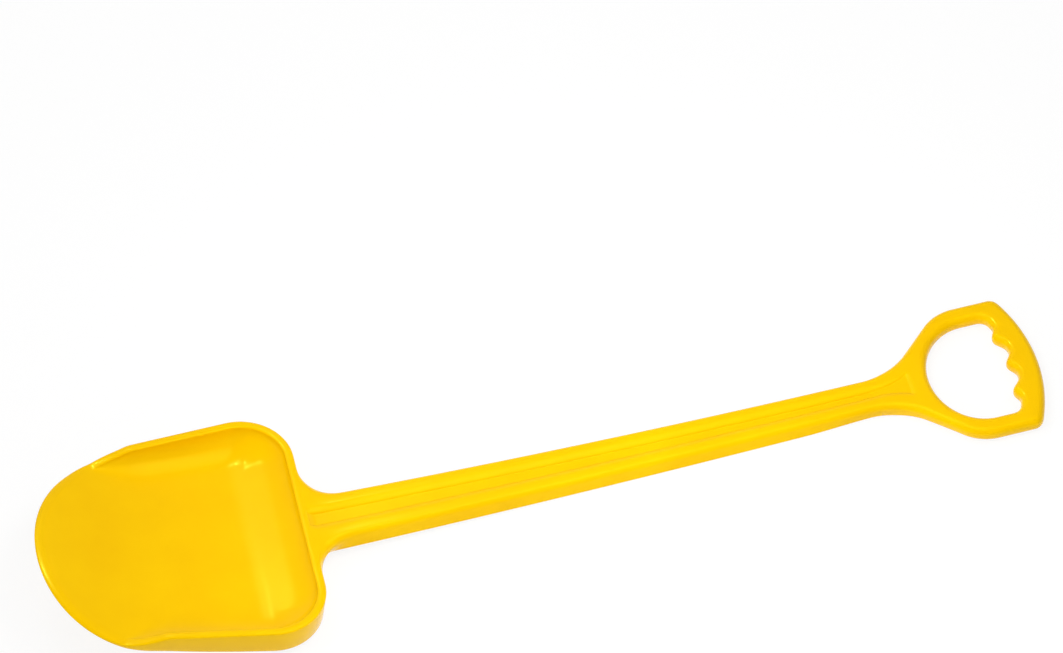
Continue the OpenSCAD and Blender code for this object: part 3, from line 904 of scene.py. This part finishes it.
# %% Grip
# The edge is followed back along the shaft, so that its rounding runs on across the joint
SHAFT_BEHIND = 40.0


def make_grip():
    """The upper and the lower skin, joined slice by slice into one ring."""
    stations, size = grid.shape[:2]
    plan = grid.reshape(-1, 2)
    shaft_edge = np.array([[YOKE_X - SHAFT_BEHIND, float(shaft_half(YOKE_X - SHAFT_BEHIND))]])
    edge = np.concatenate([shaft_edge, grip_outer[FACE_POINTS:]])
    one_side = np.stack([plan[:, 0], np.abs(plan[:, 1])], axis=1)
    away = np.minimum(nearest(edge, one_side)[0], nearest(grip_inner, one_side)[0])
    high, low = grip_heights(plan, away)
    upper = np.column_stack([plan, high]).reshape(stations, size, 3)
    lower = np.column_stack([plan, low]).reshape(stations, size, 3)
    rows = np.concatenate([upper, lower[:, ::-1]], axis=1)
    faces = loft_faces(stations, 2 * size, True, True)
    return make_piece("grip", rows.reshape(-1, 3), faces)


grip = make_grip()

# %% [markdown]
# Glossy yellow plastic
# The toy is moulded in one opaque, slightly waxy yellow. Real moulded plastic is never quite even:
# the gloss varies a little where it cooled faster, and the skin has a faint orange-peel wave. A
# flat colour would look like a drawing, and a painted picture would need the pieces unwrapped. So
# both come from noise in the object's own coordinates, which stays in place in every view. The
# gloss has a yellow tint, as the soft sheen on the real toy does.

# %% Yellow plastic
YELLOW_DEEP = (0.93, 0.53, 0.0, 1.0)
YELLOW_LIGHT = (0.97, 0.58, 0.0, 1.0)
DEEP_UP_TO = 0.3
LIGHT_FROM = 0.7
CLOUD_SCALE = 26.0
CLOUD_DETAIL = 4.0
ROUGHNESS_MIN = 0.16
ROUGHNESS_MAX = 0.23
PEEL_SCALE = 420.0
PEEL_DETAIL = 2.0
PEEL_STRENGTH = 0.06
PEEL_DEPTH = 0.0004
PLASTIC_IOR = 1.5
GLOSS_TINT = (1.0, 1.0, 0.05, 1.0)


def noise_node(nodes, scale, detail):
    noise = nodes.new("ShaderNodeTexNoise")
    noise.inputs["Scale"].default_value = scale
    noise.inputs["Detail"].default_value = detail
    return noise


def yellow_plastic():
    material = bpy.data.materials.new("yellow_plastic")
    material.use_nodes = True
    nodes, links = material.node_tree.nodes, material.node_tree.links
    shader = nodes["Principled BSDF"]
    shader.inputs["IOR"].default_value = PLASTIC_IOR
    shader.inputs["Specular Tint"].default_value = GLOSS_TINT
    where = nodes.new("ShaderNodeTexCoord")
    cloud = noise_node(nodes, CLOUD_SCALE, CLOUD_DETAIL)
    peel = noise_node(nodes, PEEL_SCALE, PEEL_DETAIL)
    tint = nodes.new("ShaderNodeValToRGB")
    tint.color_ramp.elements[0].position = DEEP_UP_TO
    tint.color_ramp.elements[0].color = YELLOW_DEEP
    tint.color_ramp.elements[1].position = LIGHT_FROM
    tint.color_ramp.elements[1].color = YELLOW_LIGHT
    gloss = nodes.new("ShaderNodeMapRange")
    gloss.inputs["To Min"].default_value = ROUGHNESS_MIN
    gloss.inputs["To Max"].default_value = ROUGHNESS_MAX
    bump = nodes.new("ShaderNodeBump")
    bump.inputs["Strength"].default_value = PEEL_STRENGTH
    bump.inputs["Distance"].default_value = PEEL_DEPTH
    for noise in (cloud, peel):
        links.new(where.outputs["Object"], noise.inputs["Vector"])
    links.new(cloud.outputs["Fac"], tint.inputs["Fac"])
    links.new(tint.outputs["Color"], shader.inputs["Base Color"])
    links.new(cloud.outputs["Fac"], gloss.inputs["Value"])
    links.new(gloss.outputs["Result"], shader.inputs["Roughness"])
    links.new(peel.outputs["Fac"], bump.inputs["Height"])
    links.new(bump.outputs["Normal"], shader.inputs["Normal"])
    return material


plastic = yellow_plastic()
print("material:", plastic.name, "with", len(plastic.node_tree.nodes), "nodes")

# %% [markdown]
# Pieces and CAD regions
# The real toy is one moulding, so every piece gets the same plastic and rides on the one body that
# the CAD model has. The CAD regions that the pieces stand for are hidden, one group for each piece.
# One piece for each region would show seams in the gloss, so regions that flow into each other share a
# piece.

# %% Plastic and CAD regions for each piece
for piece in (scoop, shaft, ribs, grip):
    piece.data.materials.append(plastic)
    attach(piece, "root")
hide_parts("scoop_floor", "digging_edge", "left_wall", "right_wall", "back_wall")
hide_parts("neck", "shaft")
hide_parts("channel_ribs")
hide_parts("yoke", "left_arm", "right_arm", "finger_bar")
print("pieces on the body root:", ", ".join(piece.name for piece in (scoop, shaft, ribs, grip)))

# %% [markdown]
# White table
# The toy lies on a plain white ground. A pure white table could come from strong lamps, but they
# would bleach the yellow. So the table glows white for the camera and for reflections, and for all
# other rays it is pale paper. For the camera a share of the paper is kept, and with it a faint
# shadow under the toy.

# %% White table
TABLE_HALF = 3.0
TABLE_BELOW = 0.0002
PAPER_WHITE = (0.85, 0.85, 0.85, 1.0)
PAPER_ROUGHNESS = 0.8
GLOW_STRENGTH = 1.03
CAMERA_GLOW = 0.85


def math_node(nodes, operation):
    node = nodes.new("ShaderNodeMath")
    node.operation = operation
    return node


def table_material():
    """Paper for light, glow for the camera, for reflections and through clear things."""
    material = bpy.data.materials.new("white_table")
    material.use_nodes = True
    nodes, links = material.node_tree.nodes, material.node_tree.links
    paper = nodes["Principled BSDF"]
    paper.inputs["Base Color"].default_value = PAPER_WHITE
    paper.inputs["Roughness"].default_value = PAPER_ROUGHNESS
    glow = nodes.new("ShaderNodeEmission")
    glow.inputs["Strength"].default_value = GLOW_STRENGTH
    ray = nodes.new("ShaderNodeLightPath")
    to_camera = math_node(nodes, "MULTIPLY")
    to_camera.inputs[1].default_value = CAMERA_GLOW
    or_glossy = math_node(nodes, "MAXIMUM")
    or_clear = math_node(nodes, "MAXIMUM")
    choose = nodes.new("ShaderNodeMixShader")
    links.new(ray.outputs["Is Camera Ray"], to_camera.inputs[0])
    links.new(to_camera.outputs["Value"], or_glossy.inputs[0])
    links.new(ray.outputs["Is Glossy Ray"], or_glossy.inputs[1])
    links.new(or_glossy.outputs["Value"], or_clear.inputs[0])
    links.new(ray.outputs["Is Transmission Ray"], or_clear.inputs[1])
    links.new(or_clear.outputs["Value"], choose.inputs["Fac"])
    links.new(paper.outputs["BSDF"], choose.inputs[1])
    links.new(glow.outputs["Emission"], choose.inputs[2])
    links.new(choose.outputs["Shader"], nodes["Material Output"].inputs["Surface"])
    return material


def white_table():
    mesh = bpy.data.meshes.new("table")
    s = TABLE_HALF
    mesh.from_pydata([(-s, -s, 0), (s, -s, 0), (s, s, 0), (-s, s, 0)], [], [(0, 1, 2, 3)])
    mesh.materials.append(table_material())
    table = bpy.data.objects.new("table", mesh)
    bpy.context.scene.collection.objects.link(table)
    table.location.z = -TABLE_BELOW
    return table


table = white_table()
print("the table is", 2 * TABLE_HALF, "m wide")

# %% [markdown]
# Soft studio light
# A studio lights such a toy with large soft lamps. In glossy plastic each of them would show as a
# bright patch, while the real toy shows only a soft sheen on the ramp and on the rails, and three
# small glints in the far corner of the scoop. One set of lamps for both jobs is possible, but every
# change to a glint would then change the colour too. Blender can keep a lamp out of reflections, or
# in reflections alone, so the two jobs are split: fill lamps light the plastic, and gloss lamps
# only show in it.

# %% Fill lamps and gloss lamps, each with its place, width and power
FILL_LAMPS = {
    "near": ((0.02, -0.05, 0.40), 0.25, 0.70),
    "back": ((-0.20, 0.60, 0.90), 0.5, 2.0),
    "high_front": ((0.05, -0.40, 0.70), 0.5, 0.7),
    "low_front": ((0.0, -1.99, 0.93), 0.9, 5.0),
    "shaft_side": ((0.08, -0.30, 0.18), 0.2, 0.1),
    "left": ((-1.99, 0.0, 0.93), 0.9, 9.0),
    "right": ((1.41, 0.0, 1.69), 0.9, 6.0),
}
GLOSS_LAMPS = {
    "sheen": ((-0.34, 0.659, 0.786), 0.4, 0.06),
    "rail_sheen": ((0.14, -0.05, 0.50), 0.5, 0.8),
    "spark_left": ((-0.427, 0.480, 0.867), 0.03, 0.45),
    "spark_middle": ((-0.231, 0.484, 0.905), 0.03, 1.2),
    "spark_right": ((-0.055, 0.488, 0.900), 0.03, 0.4),
}
LAMPS_AIM = Vector((0.08, 0.0, 0.0))


def add_lamp(name, at, size, power):
    data = bpy.data.lights.new(name, "AREA")
    data.shape = "DISK"
    data.size = size
    data.energy = power
    lamp = bpy.data.objects.new(name, data)
    lamp.location = at
    lamp.rotation_euler = (LAMPS_AIM - Vector(at)).to_track_quat("-Z", "Y").to_euler()
    bpy.context.scene.collection.objects.link(lamp)
    return lamp


for name, (at, size, power) in FILL_LAMPS.items():
    add_lamp(name, at, size, power).visible_glossy = False
for name, (at, size, power) in GLOSS_LAMPS.items():
    add_lamp(name, at, size, power).visible_diffuse = False
print("lamps:", ", ".join([*FILL_LAMPS, *GLOSS_LAMPS]))

# %% Even light from all round
SKY_WHITE = (1.0, 1.0, 1.0, 1.0)
SKY_STRENGTH = 0.4

world = bpy.data.worlds.new("studio")
world.use_nodes = True
sky = world.node_tree.nodes["Background"]
sky.inputs["Color"].default_value = SKY_WHITE
sky.inputs["Strength"].default_value = SKY_STRENGTH
bpy.context.scene.world = world
bpy.context.scene.view_settings.view_transform = "Standard"
print("light from all round has a strength of", SKY_STRENGTH)
